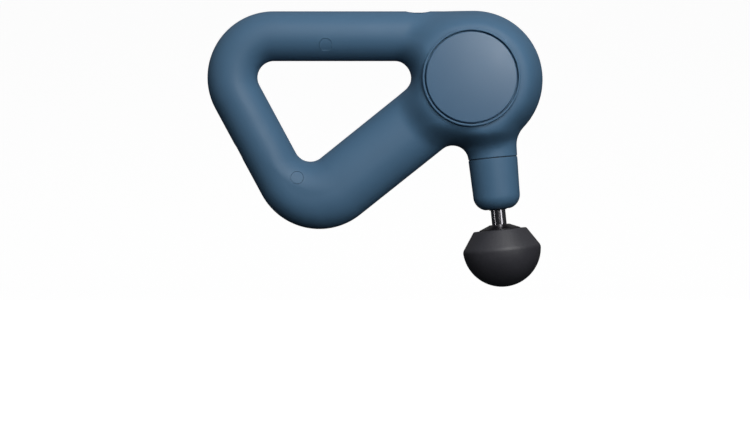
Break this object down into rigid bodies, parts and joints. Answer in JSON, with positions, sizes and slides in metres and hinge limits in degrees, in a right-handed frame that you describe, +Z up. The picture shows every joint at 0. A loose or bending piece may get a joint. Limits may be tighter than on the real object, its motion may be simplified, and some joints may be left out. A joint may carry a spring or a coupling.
{
  "type": "massage gun",
  "caption": "Handheld percussive massage gun with a triangular loop handle, round side covers, a tilted nose and a domed foam head on a reciprocating shaft.",
  "frame": {"origin": "centre of the round side covers, in the casing's middle plane", "axes": "+X towards the head end, +Z up with the massage head hanging below, -Y out of the right side cover"},
  "size_m": [0.2142, 0.062, 0.1763],
  "materials": {
    "soft_touch_blue": "soft-touch matte",
    "cover_blue": "fine satin",
    "seam_rubber": "matte",
    "button_plastic": "satin",
    "adhesive": "matte",
    "polished_steel": "polished",
    "zinc_steel": "zinc plated",
    "bearing_steel": "ground",
    "frame_aluminium": "die cast",
    "rod_plastic": "glass-filled nylon",
    "bushing_bronze": "sintered",
    "grommet_rubber": "matte",
    "core_plastic": "gloss",
    "head_foam": "closed-cell foam skin",
    "stator_iron": "laminated",
    "copper": "enamelled wire",
    "magnet": "nickel plated",
    "bell_steel": "black oxide",
    "board_green": "solder mask",
    "chip_black": "moulded",
    "switch_black": "moulded",
    "cell_wrap": "shrink wrap",
    "holder_plastic": "moulded",
    "nickel": "bright",
    "wire_red": "insulation",
    "wire_grey": "insulation",
    "wire_white": "insulation"
  },
  "bodies": {
    "casing": {"right_casing_shell": "soft_touch_blue", "left_casing_shell": "soft_touch_blue", "nose_collar": "soft_touch_blue", "screw_plugs": "soft_touch_blue", "right_side_cover": "cover_blue", "left_side_cover": "cover_blue", "cover_adhesive_rings": "adhesive", "collar_gasket": "seam_rubber", "shaft_wiper_seal": "seam_rubber", "casing_screws": "zinc_steel", "frame_screws": "zinc_steel", "frame_grommets": "grommet_rubber", "drive_frame": "frame_aluminium", "guide_bushings": "bushing_bronze", "motor_bearings": "bearing_steel", "motor_stator": "stator_iron", "stator_windings": "copper", "button_switch": "switch_black", "control_board": "board_green", "board_components": "chip_black", "charging_board": "board_green", "usb_socket": "nickel", "battery_cells": "cell_wrap", "battery_holder": "holder_plastic", "battery_tabs": "nickel", "battery_cable": "wire_red", "motor_cable": "wire_grey", "charging_cable": "wire_white"},
    "rotor": {"rotor_bell": "bell_steel", "rotor_magnets": "magnet", "motor_shaft": "bearing_steel", "crank_counterweight": "zinc_steel", "crank_pin": "bearing_steel"},
    "rod": {"connecting_rod": "rod_plastic", "big_end_bearing": "bearing_steel"},
    "shaft": {"drive_shaft": "polished_steel", "wrist_pin": "bearing_steel", "shaft_detent_ring": "grommet_rubber"},
    "head": {"head_core": "core_plastic", "massage_head": "head_foam"},
    "button": {"power_button": "button_plastic"}
  },
  "joints": [
    {"name": "motor_turn", "type": "hinge", "parent": "casing", "child": "rotor", "pos_m": [0.0099, 0, 0], "axis": [0, 1, 0], "range_deg": [-90, 90]},
    {"name": "rod_swing", "type": "hinge", "parent": "rotor", "child": "rod", "pos_m": [0.01487, 0, 0.0005], "axis": [0, 1, 0], "range_deg": [-90, 90]},
    {"name": "shaft_stroke", "type": "slide", "parent": "casing", "child": "shaft", "axis": [0.0993, 0, -0.9951], "range_m": [-0.005, 0.005]},
    {"name": "head_pull_off", "type": "slide", "parent": "shaft", "child": "head", "axis": [0.0993, 0, -0.9951], "range_m": [0, 0.045]},
    {"name": "button_press", "type": "slide", "parent": "casing", "child": "button", "axis": [0, 0, -1], "range_m": [0, 0.0006]}
  ],
  "couplings": [
    {"joint": "rod_swing", "follows": "motor_turn", "ratio": -1},
    {"joint": "shaft_stroke", "follows": "motor_turn", "m_per_rad": 0.00318}
  ]
}
